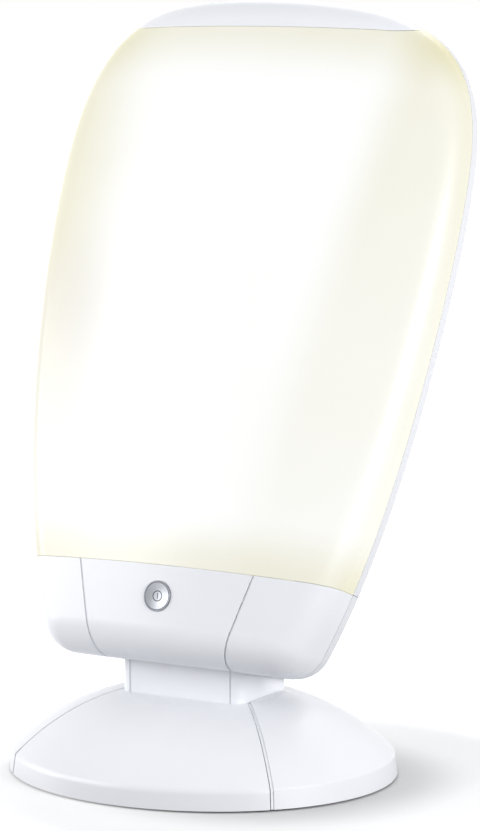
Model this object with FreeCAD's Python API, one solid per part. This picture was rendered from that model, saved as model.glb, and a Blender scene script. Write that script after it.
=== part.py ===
import FreeCAD, Part
import math
import os

from FreeCAD import Matrix, Placement, Rotation, Vector

# Light therapy lamp, in millimetres. +Z is up and the front faces -Y.
# The origin is on the floor under the middle of the base.
# The head is built upright in its own axes, with x to the right, y into the head and z along the screen,
# and is then leaned.

# ---- base ----
BASE_HALF_WIDTH = 155.0
BASE_HALF_DEPTH = 140.0
SKIRT_CLEARANCE = 1.5       # rim above the floor
RIM_HEIGHT = 16.5
RIM_FLARE = 2.5             # the rim is this much wider at the floor
DOME_TOP = 62.3
DOME_TOP_RADIUS = 63.0      # flat on top of the dome, across the width
DOME_SAGITTA = 6.9          # crown of the dome's slope
COVER_WALL = 2.5
CENTRE_RIM_ROUND = 9.0      # soft edge of the middle band
WING_RIM_ROUND = 1.6        # crisp edge of the wings
SEAM_GAP = 0.8              # between the covers and beside the neck
SEAM_STEP = 2.3             # width of the sunk ledge along a wing's seam edges
STEP_DEPTH = 0.8            # of the ledges along the seams
SEAM_START = 10.5           # of a seam behind the neck's front face
SEAM_ANGLE = 49.2           # of a front seam, from the X axis
REAR_SEAM_ANGLE = 46.0
PLATE_THICK = 3.0
PLATE_BOTTOM = 2.5
FOOT_RADIUS = 9.0
FOOT_SINK = 1.5             # of a foot in the plate
FOOT_CHAMFER = 0.6
FOOT_RING = 0.78            # place of the feet, as a share of the base's half sizes
BOSS_RING = 0.74            # place of the covers' screw bosses, as such a share
BASE_SCREW = 12.0           # length of a base screw
WEIGHT_HALF_WIDTH = 92.0
WEIGHT_HALF_DEPTH = 78.0
WEIGHT_THICK = 9.0
WEIGHT_CHAMFER = 1.5
WEIGHT_SCREW_X = 30.0       # of the weight's screws from the neck's middle
WEIGHT_SCREW_Y = 10.0

# ---- neck ----
NECK_WIDTH = 107.0
NECK_DEPTH = 75.0
NECK_Y = 3.0
NECK_CORNER = 8.0
GROOVE_WIDTH = 1.2          # of the upright grooves beside the neck's front corners
GROOVE_DEPTH = 1.0
NECK_WALL = 3.0
NECK_ROOT = 14.0            # of the column below the dome's top wall
NECK_FLANGE = 5.0
FLANGE_THICK = 2.5
BARREL_JOIN_Z = 92.0        # the column ends here, under the barrel's cover
BARREL_ROUND = 2.0

# ---- hinge ----
HINGE_Z = 100.0
AXLE_RADIUS = 5.0
AXLE_FIT = 0.05
AXLE_END = 2.0              # of the axle beyond each nut
AXLE_CHAMFER = 0.8
TILT_BACK = 5.0             # degrees
TILT_FORWARD = 12.0
SLOT_CLEARANCE = 1.5        # between the neck and the head's slot
SLOT_REACH = 90.0           # of the slot below the hinge, out of the head
EAR_THICK = 3.0
EAR_RADIUS = 12.0
EAR_REACH = 62.0            # of the ears up the chassis from its foot
WASHER_THICK = 1.6
WASHER_RADIUS = 14.0
NUT_ACROSS = 17.0
NUT_HEIGHT = 7.0
FACE_PLAY = 0.1             # flat faces that slide on each other
BRACKET_THICK = 3.0
BRACKET_DEPTH = 34.0

# ---- head ----
LEAN = 19.6                 # degrees back from upright
HEAD_Y = -70.9              # foot of the screen's front line, in the standing frame
HEAD_Z = 174.1
FRONT_RADIUS = 420.0        # crown across the screen
CROWN_RADIUS = 2327.0       # crown along the screen
CROWN_HEIGHT = 220.0        # height of the crown's vertex
CROWN_SWEEP = 11.0          # degrees of crown each way, past both ends of the head
PARTING = 60.0              # depth from the front to the parting line
EDGE_ROUND = 28.0
DRAW_SLOPE = 0.093          # the side walls rise this much per unit of depth
OUTLINE_FRONT = -40.0       # the outline is pushed from ahead of the crown
OUTLINE_BACK = 260.0        # to behind the back
HEAD_BOTTOM = -75.0         # outline at the front plane
BOTTOM_CORNER = 30.0
BOTTOM_FLAT = 88.0          # half length of the straight bottom edge
CORNER_SLANT = 24.0         # degrees from upright where the side leaves the bottom corner
SIDE_POINTS = ((151.8, 54.0), (174.0, 192.0), (179.3, 295.0), (154.0, 407.0), (108.0, 442.5), (58.0, 451.7))
HEAD_TOP = 454.5
SCREEN_WALL = 2.2
SHELL_WALL = 2.5
SCREEN_FOOT = 0.0           # lower edge of the screen
CAP_EDGE = ((-10.0, 424.5), (27.0, 431.1), (80.0, 451.1))     # depth and height of the cap's lower edge
JOINT_GAP = 0.5
PARTING_GAP = 0.6
SEAM_TOP_X = 76.0           # half width of the middle panel at its top
SEAM_FOOT_X = 54.0          # and at the head's bottom
PANEL_GAP = 0.6             # between the middle panel and the covers beside it
PANEL_STEP = 1.3            # width of the sunk ledge along a cover's seam edge

# ---- rear of the head ----
RIM_DEPTH = 18.0            # of the rear rim behind the parting line
RIM_ROUND = 11.0
BACK_POINTS = ((80.0, -75.0), (142.0, 290.0), (104.0, 424.0))    # right edge of the raised back
BACK_CORNER = 25.0
BODY_ROUND = 14.0
BACK_PROFILE = ((147.0, -110.0), (134.0, 130.0), (95.0, 480.0))
VENT_LENGTH = 70.0
VENT_WIDTH = 4.0
VENT_PITCH = 11.0
VENT_COUNT = 8
VENT_Z = 318.0
VENT_MIDDLE = 12.0          # half the bar between the two columns of slots
VENT_END = 0.05             # flat left at a slot's round ends

# ---- lamps and gear in the head ----
LAMP_X = 45.0
LAMP_Y = 47.0
TUBE_RADIUS = 8.75
GLASS_WALL = 1.0
TUBE_SPACING = 21.0
BRIDGE_RADIUS = 4.8
BRIDGE_DROP = 8.0           # of the bridge below the centres of the round tops
LAMP_FOOT = 6.0
LAMP_CAP_HEIGHT = 24.0
LAMP_CAP_WALL = 1.5
LAMP_CAP_CORNER = 3.0
LATCH_HEIGHT = 9.0
LAMP_LENGTH = 411.0
HOLDER_HEIGHT = 22.0
REFLECTOR_Y = 60.0
REFLECTOR_THICK = 0.8
REFLECTOR_HALF_WIDTH = 112.0
REFLECTOR_FOOT = -18.0
REFLECTOR_TOP = 432.0
REFLECTOR_MARGIN = 8.0      # between its edge and the shell
WING_WIDTH = 24.0
WING_RISE = 16.0
POST_PLACES = ((72.0, 60.0), (72.0, 200.0), (72.0, 360.0))          # of the posts behind the reflector
CHASSIS_Y = 80.0
CHASSIS_THICK = 1.0
CHASSIS_FOOT = 4.0
CHASSIS_TOP = 405.0
CHASSIS_INSET = 4.0
POST_RADIUS = 4.5
CHASSIS_SCREW = 9.0         # length of a chassis screw's shank
CHASSIS_PLACES = ((78.0, 40.0), (100.0, 200.0), (100.0, 340.0))    # of the posts behind the chassis
CLIP_HEIGHT = 9.0
CLIP_THICK = 1.2
CLIP_REACH = 5.0            # of a clip's arms ahead of the tubes' centres
CLIP_LEVELS = (150.0, 330.0)
GEAR_WIDTH = 84.0
GEAR_HEIGHT = 150.0
GEAR_DEPTH = 28.0
GEAR_FOOT = 105.0
GEAR_WALL = 1.2
BOARD_PEG = 5.0             # height of the pegs under the board
PEG_RADIUS = 2.5
PEG_INSET = 6.0
CHOKE = (-22.0, 14.0, 26.0, 24.0, 16.0)     # left edge, height, width, length and rise
TRANSFORMER = (8.0, 60.0, 22.0, 24.0, 14.0)
FILTER = (10.0, 104.0, 14.0, 26.0, 12.0)
LARGE_CAN = (-18.0, 72.0, 8.0, 18.0)        # middle, height, radius and rise
SMALL_CAN = (-16.0, 104.0, 6.0, 15.0)
TERMINAL_WIDTH = 40.0
TERMINAL_HEIGHT = 16.0
TERMINAL_DEPTH = 14.0
TERMINAL_DROP = 12.0        # below the gear's case
TERMINAL_PITCH = 12.0
TERMINAL_WELL = 2.2

# ---- button ----
BUTTON_Z = -24.0
BUTTON_RADIUS = 10.3
BEZEL_RADIUS = 11.75
BEZEL_WALL = 0.5
BEZEL_PROUD = 0.9
BEZEL_ROUND = 0.35
BEZEL_SINK = 0.4            # of its flange in the panel
BEZEL_DEPTH = 7.0
PANEL_REACH = 5.0           # a hole's cut starts this far ahead of the panel
RUNNING_GAP = 0.3
BUTTON_TRAVEL = 2.0
BUTTON_DISH = 1.1
CARRIER_LIP = 6.0           # thickness of the switch carrier's lip
CARRIER_HEIGHT = 14.0
CARRIER_ARM = 8.0
SYMBOL_RADIUS = 4.2
SYMBOL_LINE = 0.75
SYMBOL_BAR = 4.6            # length of the upright bar
SYMBOL_DEPTH = 0.3
STEM_RADIUS = 2.6
SWITCH_SIZE = 15.0
SWITCH_DEPTH = 13.0
SWITCH_CORNER = 1.0
SWITCH_SPARE = 1.5          # of its well beyond the stem's travel
SWITCH_MARGIN = 3.0         # of its board round it
BOARD_THICK = 1.6
SPRING_RADIUS = 4.2
SPRING_WIRE = 0.45
SPRING_TURNS = 4
SPRING_SEAT = 5.0           # back of the button, where the spring starts
SPRING_LENGTH = 6.8

# ---- fasteners and inlet ----
SCREW_RADIUS = 1.75
SCREW_HEAD = 3.4
SCREW_HEAD_HEIGHT = 2.2
SCREW_FIT = 0.05
SLOT_WIDTH = 0.8            # of the driver's cross, and its depth
BOSS_RADIUS = 4.8
BOSS_LENGTH = 16.0
SCREW_INSET = 6.5           # of the rim screws from the head's outline
HEAD_SEAT = 10.0            # seat of a rim screw's head behind the parting line
RIM_SCREW_SHARES = (0.04, 0.2, 0.42, 0.64, 0.93)    # places of the rim screws along the right edge
GLAND_RADIUS = 6.0
GLAND_BORE = 3.6
GLAND_LIP = 8.5
GLAND_LENGTH = 16.0
GLAND_PROUD = 2.5           # of the gland behind the rim
GLAND_Z = 10.5

FAR = 600.0
LEFT_AND_RIGHT = (-1, 1)
X_AXIS = Vector(1, 0, 0)
Y_AXIS = Vector(0, 1, 0)
Z_AXIS = Vector(0, 0, 1)
DRAW = Vector(0, 1, DRAW_SLOPE)     # the moulding's draw direction
HEAD_FRAME = Placement(Vector(0, HEAD_Y, HEAD_Z), Rotation(X_AXIS, -LEAN))
NECK_FRONT = NECK_Y - NECK_DEPTH / 2
NECK_REAR = NECK_Y + NECK_DEPTH / 2
PLATE_TOP = PLATE_BOTTOM + PLATE_THICK
EAR_X = NECK_WIDTH / 2 + WASHER_THICK + 2 * FACE_PLAY
BEZEL_BORE = BUTTON_RADIUS + RUNNING_GAP


# ---- small helpers ----

def block(x0, x1, y0, y1, z0, z1):
    """A box between two corners."""
    return Part.makeBox(x1 - x0, y1 - y0, z1 - z0, Vector(x0, y0, z0))


def rod(radius, foot, axis, length):
    """A cylinder from a foot along an axis."""
    return Part.makeCylinder(radius, length, Vector(*foot), axis)


def tube(outer, inner, foot, axis, length):
    """A hollow cylinder."""
    return rod(outer, foot, axis, length).cut(rod(inner, foot, axis, length))


def join(shapes):
    """One solid from pieces that meet."""
    first, rest = shapes[0], list(shapes[1:])
    return first.fuse(rest).removeSplitter() if rest else first


def group(shapes):
    """Separate solids in one node."""
    return Part.makeCompound([solid for shape in shapes for solid in shape.Solids])


def mirrored(shape):
    """The same piece on the other side of the object."""
    return shape.mirror(Vector(0, 0, 0), X_AXIS)


def prism(points, along):
    """A polygon pushed along a vector."""
    corners = [Vector(*p) for p in points]
    return Part.Face(Part.makePolygon(corners + corners[:1])).extrude(along)


def above(level):
    """All the space above a level."""
    return block(-FAR, FAR, -FAR, FAR, level, FAR)


def below(level):
    """All the space below a level."""
    return block(-FAR, FAR, -FAR, FAR, -FAR, level)


def edges_along(shape, direction):
    """The straight edges of a shape that run along a direction."""
    straight = [e for e in shape.Edges if isinstance(e.Curve, Part.Line)]
    return [e for e in straight if e.Curve.Direction.cross(direction).Length < 0.001]


def edges_level_at(shape, level):
    """The edges of a shape that lie flat at a height."""
    return [e for e in shape.Edges if e.BoundBox.ZLength < 0.01 and abs(e.BoundBox.ZMin - level) < 0.01]


def largest(faces):
    """The face with the largest area."""
    return max(faces, key=lambda face: face.Area)


def hinge_in_head():
    """The hinge's place in the head's own axes."""
    return HEAD_FRAME.inverse().multVec(Vector(0, NECK_Y, HINGE_Z))


HINGE = hinge_in_head()


def save(name, shape, placement=None):
    """Write one node."""
    if placement is not None:
        shape = shape.transformed(placement.toMatrix())
    shape.exportStep("parts/" + name + ".step")


# ---- base ----

def squeeze(shape):
    """Turn a round form into the base's oval."""
    matrix = Matrix()
    matrix.scale(1.0, BASE_HALF_DEPTH / BASE_HALF_WIDTH, 1.0)
    return shape.transformGeometry(matrix)


def dome(inset, rim_round):
    """The base's outer form, inset all over by a wall."""
    centre = Vector(0, 0, 0)
    rim_foot = Vector(BASE_HALF_WIDTH - inset, 0, 0)
    rim_top = Vector(BASE_HALF_WIDTH - RIM_FLARE - inset, 0, RIM_HEIGHT - inset / 2)
    crest = Vector(DOME_TOP_RADIUS - inset / 2, 0, DOME_TOP - inset)
    chord = crest - rim_top
    normal = Vector(-chord.z, 0, chord.x).normalize()
    middle = (crest + rim_top) / 2 - normal * DOME_SAGITTA
    edges = [
        Part.LineSegment(centre, rim_foot).toShape(),
        Part.LineSegment(rim_foot, rim_top).toShape(),
        Part.Arc(rim_top, middle, crest).toShape(),
        Part.LineSegment(crest, Vector(0, 0, crest.z)).toShape(),
        Part.LineSegment(Vector(0, 0, crest.z), centre).toShape(),
    ]
    solid = Part.Face(Part.Wire(edges)).revolve(centre, Z_AXIS, 360)
    rounded = max(rim_round - inset, 0)
    if rounded:
        solid = solid.makeFillet(rounded, edges_level_at(solid, rim_top.z))
    return squeeze(solid)


def wing_region(side, neck_gap, seam_gap):
    """The sector beside the neck that a wing fills, a gap away from the neck and from the seams."""
    x = NECK_WIDTH / 2 + neck_gap
    front, rear = math.radians(SEAM_ANGLE), math.radians(REAR_SEAM_ANGLE)
    front_y = NECK_FRONT + SEAM_START + seam_gap / math.cos(front) - neck_gap * math.tan(front)
    rear_y = NECK_REAR - SEAM_START - seam_gap / math.cos(rear) + neck_gap * math.tan(rear)
    points = [
        (x, front_y, 0),
        (x + FAR * math.cos(front), front_y - FAR * math.sin(front), 0),
        (2 * FAR, 0, 0),
        (x + FAR * math.cos(rear), rear_y + FAR * math.sin(rear), 0),
        (x, rear_y, 0),
    ]
    region = prism(points, Vector(0, 0, DOME_TOP * 2))
    return region if side > 0 else mirrored(region)


def ring_place(angle, share):
    """A point at a share of the base's half sizes."""
    turn = math.radians(angle)
    return share * BASE_HALF_WIDTH * math.sin(turn), -share * BASE_HALF_DEPTH * math.cos(turn)


MIDDLE_BOSSES = [ring_place(a, BOSS_RING) for a in (-22, 22, 158, 202)]
WING_BOSSES = [ring_place(a, BOSS_RING) for a in (68, 112)]


def bossed(shell, form, places):
    """A cover with screw bosses that reach down to the bottom plate."""
    for x, y in places:
        boss = rod(BOSS_RADIUS, (x, y, PLATE_TOP), Z_AXIS, DOME_TOP).common(form)
        shell = shell.fuse(boss)
        shell = shell.cut(rod(SCREW_RADIUS + SCREW_FIT, (x, y, 0), Z_AXIS, PLATE_BOTTOM + BASE_SCREW + 1))
    return shell.removeSplitter()


def base_cover(rim_round):
    """Outer form and thin shell of the base."""
    form = dome(0, rim_round).common(above(SKIRT_CLEARANCE))
    return form, form.cut(dome(COVER_WALL, rim_round))


def base_middle_cover(end):
    """The middle band ahead of the neck or behind it, cut out for the neck and the gland."""
    form, shell = base_cover(CENTRE_RIM_ROUND)
    shell = shell.common(block(-FAR, FAR, *sorted((NECK_Y, end * FAR)), 0, FAR))
    for side in LEFT_AND_RIGHT:
        shell = shell.cut(wing_region(side, 0, 0))
    shell = shell.cut(neck_form(-RUNNING_GAP, 0, DOME_TOP * 2)).cut(gland_hole())
    return bossed(shell, form, [(x, y) for x, y in MIDDLE_BOSSES if y * end > 0])


def base_wing(side):
    """One outer part of the dome, with a sunk ledge along its two seams."""
    form, shell = base_cover(WING_RIM_ROUND)
    field = wing_region(side, SEAM_GAP, SEAM_GAP)
    ledge = form.cut(dome(STEP_DEPTH, WING_RIM_ROUND)).cut(wing_region(side, 0, SEAM_GAP + SEAM_STEP))
    places = [(side * x, y) for x, y in WING_BOSSES]
    return bossed(shell.common(field).cut(ledge), form, places)


def base_bottom_plate():
    """The flat closing plate, with seats for the screws and the feet."""
    plate = dome(COVER_WALL + RUNNING_GAP, 0)
    plate = plate.common(block(-FAR, FAR, -FAR, FAR, PLATE_BOTTOM, PLATE_TOP))
    for x, y in base_screw_places():
        plate = plate.cut(screw((x, y, PLATE_BOTTOM), Z_AXIS, BASE_SCREW, SCREW_FIT))
    for x, y in weight_screw_places():
        plate = plate.cut(screw((x, y, PLATE_BOTTOM), Z_AXIS, BASE_SCREW, SCREW_FIT))
    for x, y in foot_places():
        plate = plate.cut(rod(FOOT_RADIUS, (x, y, 0), Z_AXIS, PLATE_BOTTOM + FOOT_SINK))
    return plate


def foot_places():
    """Centres of the rubber feet."""
    return [ring_place(a, FOOT_RING) for a in (-45, 0, 45, 135, 180, 225)]


def rubber_feet():
    """Round feet sunk in the bottom plate."""
    feet = []
    for x, y in foot_places():
        foot = rod(FOOT_RADIUS, (x, y, 0), Z_AXIS, PLATE_BOTTOM + FOOT_SINK)
        feet.append(foot.makeChamfer(FOOT_CHAMFER, edges_level_at(foot, 0)))
    return group(feet)


def base_screw_places():
    """Screws that hold the three covers to the plate."""
    return MIDDLE_BOSSES + WING_BOSSES + [(-x, y) for x, y in WING_BOSSES]


def weight_screw_places():
    """Screws that hold the weight and the neck bracket's foot."""
    rows = (NECK_Y - WEIGHT_SCREW_Y, NECK_Y + WEIGHT_SCREW_Y)
    return [(side * WEIGHT_SCREW_X, y) for side in LEFT_AND_RIGHT for y in rows]


def screw(foot, axis, length, fit=0.0):
    """A countersunk screw whose head starts at its foot, or the hole for it."""
    place = Vector(*foot)
    head = Part.makeCone(SCREW_HEAD + fit, SCREW_RADIUS + fit, SCREW_HEAD_HEIGHT, place, axis)
    return head.fuse(rod(SCREW_RADIUS + fit, foot, axis, length)).removeSplitter()


def cross_slot(foot, axis, side):
    """The driver's slot in a screw head."""
    place = Vector(*foot)
    reach, half = SCREW_HEAD - SLOT_WIDTH, SLOT_WIDTH / 2
    slot = block(-reach, reach, -half, half, 0, SLOT_WIDTH)
    cross = slot.fuse(slot.rotated(Vector(0, 0, 0), Z_AXIS, 90))
    return cross.transformed(Placement(place, Rotation(side, axis)).toMatrix())


def slotted_screw(foot, axis, length):
    """A screw with its driver slot."""
    return screw(foot, axis, length).cut(cross_slot(foot, axis, Z_AXIS))


def base_screws():
    """The screws under the base."""
    return group([slotted_screw((x, y, PLATE_BOTTOM), Z_AXIS, BASE_SCREW) for x, y in base_screw_places()])


def oval(half_width, half_depth, bottom, height):
    """An upright oval disc."""
    ellipse = Part.Ellipse(Vector(0, 0, bottom), half_width, half_depth)
    return Part.Face(Part.Wire(ellipse.toShape())).extrude(Vector(0, 0, height))


def ballast_weight():
    """The steel weight that steadies the lamp."""
    weight = oval(WEIGHT_HALF_WIDTH, WEIGHT_HALF_DEPTH, PLATE_TOP, WEIGHT_THICK)
    weight = weight.makeChamfer(WEIGHT_CHAMFER, edges_level_at(weight, PLATE_TOP + WEIGHT_THICK))
    for x, y in weight_screw_places():
        weight = weight.cut(rod(SCREW_RADIUS + SCREW_FIT, (x, y, 0), Z_AXIS, FAR))
    return weight


def weight_screws():
    """Screws through the plate and weight into the neck bracket."""
    length = PLATE_THICK + WEIGHT_THICK + BRACKET_THICK
    return group([slotted_screw((x, y, PLATE_BOTTOM), Z_AXIS, length) for x, y in weight_screw_places()])


def gland_hole():
    """The hole for the cord gland through the rear of the rim."""
    return rod(GLAND_RADIUS + SCREW_FIT, (0, BASE_HALF_DEPTH - 2 * GLAND_LENGTH, GLAND_Z), Y_AXIS, FAR)


def cord_gland():
    """The rubber bush in the rim where a mains lead would enter."""
    rear = BASE_HALF_DEPTH + GLAND_PROUD
    sleeve = rod(GLAND_RADIUS, (0, rear - GLAND_LENGTH, GLAND_Z), Y_AXIS, GLAND_LENGTH)
    lip = rod(GLAND_LIP, (0, rear - GLAND_LENGTH, GLAND_Z), Y_AXIS, GLAND_LENGTH)
    gland = sleeve.fuse(lip.common(dome(COVER_WALL + FACE_PLAY, CENTRE_RIM_ROUND))).removeSplitter()
    return gland.common(above(PLATE_TOP + FACE_PLAY)).cut(rod(GLAND_BORE, (0, 0, GLAND_Z), Y_AXIS, FAR))


# ---- neck ----

def neck_form(inset, bottom, top):
    """The neck's rounded column, inset by a wall."""
    x, y = NECK_WIDTH / 2 - inset, NECK_DEPTH / 2 - inset
    column = block(-x, x, NECK_Y - y, NECK_Y + y, bottom, top)
    return column.makeFillet(max(NECK_CORNER - inset, 1), edges_along(column, Z_AXIS))


def neck_grooves():
    """The upright grooves between the neck's flat front and its rounded corners."""
    outer = NECK_WIDTH / 2 - NECK_CORNER
    return [block(*sorted((side * outer, side * (outer - GROOVE_WIDTH))), NECK_FRONT - 1,
                  NECK_FRONT + GROOVE_DEPTH, DOME_TOP, HINGE_Z) for side in LEFT_AND_RIGHT]


def barrel_form(inset):
    """The round top of the neck, about the hinge."""
    x = NECK_WIDTH / 2 - inset
    radius = NECK_DEPTH / 2 - inset
    barrel = rod(radius, (-x, NECK_Y, HINGE_Z), X_AXIS, 2 * x)
    rims = [e for e in barrel.Edges if e.BoundBox.XLength < 0.01]
    return barrel.makeFillet(BARREL_ROUND, rims)


def axle_hole(fit):
    """The hole that the axle runs in."""
    return rod(AXLE_RADIUS + fit, (-FAR, NECK_Y, HINGE_Z), X_AXIS, 2 * FAR)


def neck_column():
    """The upright part of the neck, with a flange under the base's top."""
    bottom = DOME_TOP - COVER_WALL - NECK_ROOT
    column = neck_form(0, bottom, BARREL_JOIN_Z).cut(neck_form(NECK_WALL, bottom, BARREL_JOIN_Z))
    column = column.cut(neck_grooves())
    under = DOME_TOP - COVER_WALL
    flange = neck_form(-NECK_FLANGE, bottom, under).cut(neck_form(NECK_WALL, 0, FAR))
    flange = flange.common(dome(COVER_WALL + FACE_PLAY, 0)).cut(dome(COVER_WALL + FLANGE_THICK, 0))
    return column.fuse(flange).removeSplitter()


def neck_top():
    """The barrel-shaped cover over the hinge, seated on the column."""
    column = neck_form(0, BARREL_JOIN_Z + FACE_PLAY, HINGE_Z)
    hollow = neck_form(NECK_WALL, BARREL_JOIN_Z, HINGE_Z).fuse(barrel_form(NECK_WALL))
    upper = barrel_form(0).common(block(-FAR, FAR, -FAR, FAR, HINGE_Z, FAR))
    return column.fuse(upper).removeSplitter().cut(hollow).cut(axle_hole(AXLE_FIT)).cut(neck_grooves())


def neck_bracket():
    """The folded steel frame that carries the axle inside the neck."""
    side_x = NECK_WIDTH / 2 - NECK_WALL - FACE_PLAY
    foot = PLATE_TOP + WEIGHT_THICK
    front, rear = NECK_Y - BRACKET_DEPTH / 2, NECK_Y + BRACKET_DEPTH / 2
    floor = block(-side_x, side_x, front, rear, foot, foot + BRACKET_THICK)
    pieces = [floor]
    for side in LEFT_AND_RIGHT:
        x0, x1 = sorted((side * side_x, side * (side_x - BRACKET_THICK)))
        pieces.append(block(x0, x1, front, rear, foot, HINGE_Z))
        pieces.append(rod(BRACKET_DEPTH / 2, (x0, NECK_Y, HINGE_Z), X_AXIS, BRACKET_THICK))
    bracket = join(pieces).cut(axle_hole(AXLE_FIT))
    for x, y in weight_screw_places():
        bracket = bracket.cut(rod(SCREW_RADIUS + SCREW_FIT, (x, y, 0), Z_AXIS, HINGE_Z / 2))
    return bracket


# ---- hinge ----

def hinge_axle():
    """The shaft across the neck, with the two ears of the head outside it."""
    half = EAR_X + EAR_THICK + WASHER_THICK + FACE_PLAY + NUT_HEIGHT + AXLE_END
    axle = rod(AXLE_RADIUS, (-half, NECK_Y, HINGE_Z), X_AXIS, 2 * half)
    return axle.makeChamfer(AXLE_CHAMFER, [e for e in axle.Edges if e.BoundBox.XLength < 0.01])


def friction_washers():
    """Two washers on each side of each ear."""
    washers = []
    inner_x = NECK_WIDTH / 2 + FACE_PLAY
    outer_x = EAR_X + EAR_THICK + FACE_PLAY
    for side in LEFT_AND_RIGHT:
        for x in (inner_x, outer_x):
            washers.append(tube(WASHER_RADIUS, AXLE_RADIUS + AXLE_FIT, (side * x, NECK_Y, HINGE_Z),
                                X_AXIS * side, WASHER_THICK))
    return group(washers)


def hinge_nuts():
    """The hexagon nuts that set the hinge's friction."""
    nuts = []
    x = EAR_X + EAR_THICK + WASHER_THICK + 2 * FACE_PLAY
    radius = NUT_ACROSS / math.sqrt(3)
    turns = [math.radians(60 * i) for i in range(6)]
    corners = [(0, radius * math.cos(a), radius * math.sin(a)) for a in turns]
    for side in LEFT_AND_RIGHT:
        nut = prism(corners, X_AXIS * side * NUT_HEIGHT)
        cone = Part.makeCone(radius + NUT_HEIGHT / 2, radius - 1, NUT_HEIGHT, Vector(0, 0, 0), X_AXIS * side)
        nut = nut.common(cone)
        nut.translate(Vector(side * x, NECK_Y, HINGE_Z))
        nuts.append(nut.cut(axle_hole(AXLE_FIT)))
    return group(nuts)


def head_bracket():
    """The steel ears on the axle and the crossplate that they carry, in the head's axes."""
    pieces = []
    top = CHASSIS_FOOT + EAR_REACH
    cross_y = CHASSIS_Y + CHASSIS_THICK
    for side in LEFT_AND_RIGHT:
        x0 = min(side * EAR_X, side * (EAR_X + EAR_THICK))
        pieces.append(rod(EAR_RADIUS, (x0, HINGE.y, HINGE.z), X_AXIS, EAR_THICK))
        ear = [(x0, HINGE.y - EAR_RADIUS, HINGE.z), (x0, HINGE.y + EAR_RADIUS, HINGE.z),
               (x0, HINGE.y + EAR_RADIUS, top - 2 * EAR_RADIUS), (x0, cross_y + EAR_THICK, top),
               (x0, cross_y, top), (x0, cross_y, CHASSIS_FOOT + EAR_THICK)]
        pieces.append(prism(ear, X_AXIS * EAR_THICK))
    x = EAR_X + EAR_THICK
    pieces.append(block(-x, x, cross_y, cross_y + EAR_THICK, CHASSIS_FOOT + EAR_RADIUS, top))
    return join(pieces).cut(rod(AXLE_RADIUS + AXLE_FIT, (-FAR, HINGE.y, HINGE.z), X_AXIS, 2 * FAR))


# ---- outer form of the head, in its own axes ----

def outline_curve(inset):
    """The right edge of the head from the bottom corner to the middle of the top, moved inwards."""
    turn = math.radians(90 - CORNER_SLANT)
    start = Vector(BOTTOM_FLAT + BOTTOM_CORNER * math.sin(turn), 0,
                   HEAD_BOTTOM + BOTTOM_CORNER * (1 - math.cos(turn)))
    heading = Vector(math.cos(turn), 0, math.sin(turn))
    points = [start] + [Vector(x, 0, z) for x, z in SIDE_POINTS] + [Vector(0, 0, HEAD_TOP)]
    curve = through(points, heading)
    if inset:
        curve = through([inwards(curve, curve.parameter(p), inset) for p in points], heading)
    return curve


def through(points, heading):
    """A smooth curve through points that starts in a direction and ends level."""
    curve = Part.BSplineCurve()
    curve.interpolate(Points=points, InitialTangent=heading, FinalTangent=X_AXIS * -1)
    return curve


def inwards(curve, at, distance):
    """A point of the right edge, moved into the head."""
    along = curve.tangent(at)[0]
    return curve.value(at) + Vector(-along.z, 0, along.x) * distance


def outline_face(inset):
    """The head seen from the front, inset all round."""
    edge = outline_curve(inset).toShape()
    radius = BOTTOM_CORNER - inset
    floor = HEAD_BOTTOM + inset
    half_turn = math.radians((90 - CORNER_SLANT) / 2)
    end = edge.Vertexes[0].Point if edge.Vertexes[0].Z < edge.Vertexes[1].Z else edge.Vertexes[1].Point
    middle_x = BOTTOM_FLAT + radius * math.sin(half_turn)
    middle = Vector(middle_x, 0, floor + radius * (1 - math.cos(half_turn)))
    corner = Part.Arc(Vector(BOTTOM_FLAT, 0, floor), middle, end).toShape()
    bottom = Part.LineSegment(Vector(-BOTTOM_FLAT, 0, floor), Vector(BOTTOM_FLAT, 0, floor)).toShape()
    edges = [bottom, corner, edge, mirrored(edge), mirrored(corner)]
    return Part.Face(Part.Wire(Part.__sortEdges__(edges)))


def outline_prism(inset):
    """The head's outline through its depth, along the moulding's draw direction."""
    face = outline_face(inset)
    face.translate(DRAW * OUTLINE_FRONT)
    return face.extrude(DRAW * (OUTLINE_BACK - OUTLINE_FRONT))


def crowned(section):
    """A section across the head, swept along the crown of the screen."""
    pivot = Vector(0, CROWN_RADIUS, CROWN_HEIGHT)
    return section.rotated(pivot, X_AXIS, CROWN_SWEEP).revolve(pivot, X_AXIS, -2 * CROWN_SWEEP)


def section_face(points, arc=None):
    """A closed section at the crown's vertex; an arc may stand for its front side."""
    corners = [Vector(x, y, CROWN_HEIGHT) for x, y in points]
    edges = [Part.LineSegment(a, b).toShape() for a, b in zip(corners, corners[1:])]
    closing = Part.LineSegment(corners[-1], corners[0]) if arc is None else arc
    return Part.Face(Part.Wire(edges + [closing.toShape()]))


def band(front, back):
    """The space between two depths behind the screen's front line."""
    return crowned(section_face([(-FAR, front), (FAR, front), (FAR, back), (-FAR, back)]))


def front_form(inset, back):
    """The head's solid outer form from its crowned front back to a depth."""
    radius = FRONT_RADIUS - inset
    reach = max(x for x, z in SIDE_POINTS) + EDGE_ROUND
    side_y = FRONT_RADIUS - math.sqrt(radius * radius - reach * reach)
    rear_y = PARTING + 2 * EDGE_ROUND
    nose = Vector(0, inset, CROWN_HEIGHT)
    left, right = Vector(-reach, side_y, CROWN_HEIGHT), Vector(reach, side_y, CROWN_HEIGHT)
    section = section_face([(reach, side_y), (reach, rear_y), (-reach, rear_y), (-reach, side_y)],
                           Part.Arc(left, nose, right))
    body = outline_prism(inset).common(crowned(section))
    front_face = largest(f for f in body.Faces if is_front(f))
    return body.makeFillet(EDGE_ROUND - inset, front_face.Edges).common(band(-FAR / 10, back))


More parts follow.
